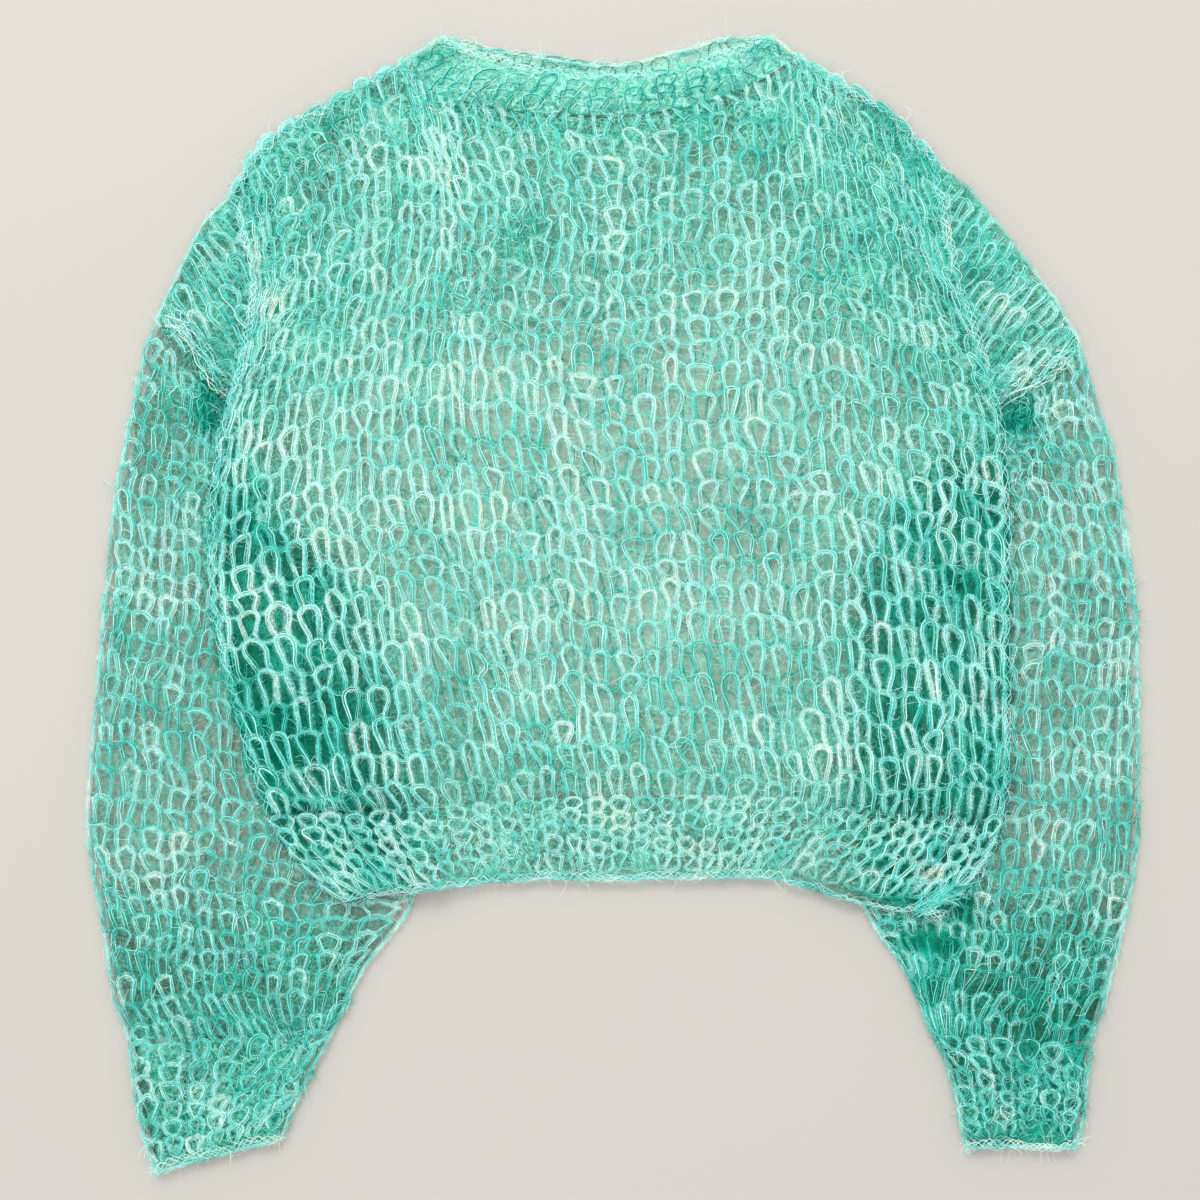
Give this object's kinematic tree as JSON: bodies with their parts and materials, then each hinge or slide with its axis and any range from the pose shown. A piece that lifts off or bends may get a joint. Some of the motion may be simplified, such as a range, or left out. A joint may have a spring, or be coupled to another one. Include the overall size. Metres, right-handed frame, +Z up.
{
  "type": "knitted pullover",
  "caption": "Open-knit mohair pullover laid flat, front up, with dropped shoulders, wide sleeves folded down beside the body, and a ribbed neckband, hem band and cuffs.",
  "frame": {"origin": "middle of the garment's outline as it is laid out, on the surface it lies on", "axes": "+Y towards the neck, +X towards the wearer's left sleeve, +Z up out of the front of the garment"},
  "size_m": [0.6516, 0.7042, 0.0209],
  "materials": {
    "knit_front": "fuzzy mohair knit",
    "knit_back": "fuzzy mohair knit",
    "knit_left_sleeve": "fuzzy mohair knit",
    "knit_right_sleeve": "fuzzy mohair knit",
    "knit_neckband": "fuzzy mohair knit",
    "knit_hem_band": "fuzzy mohair knit",
    "knit_left_cuff": "fuzzy mohair knit",
    "knit_right_cuff": "fuzzy mohair knit"
  },
  "bodies": {
    "root": {"front": "knit_front", "back": "knit_back", "left_sleeve": "knit_left_sleeve", "right_sleeve": "knit_right_sleeve", "neckband": "knit_neckband", "hem_band": "knit_hem_band", "left_cuff": "knit_left_cuff", "right_cuff": "knit_right_cuff"}
  },
  "joints": []
}
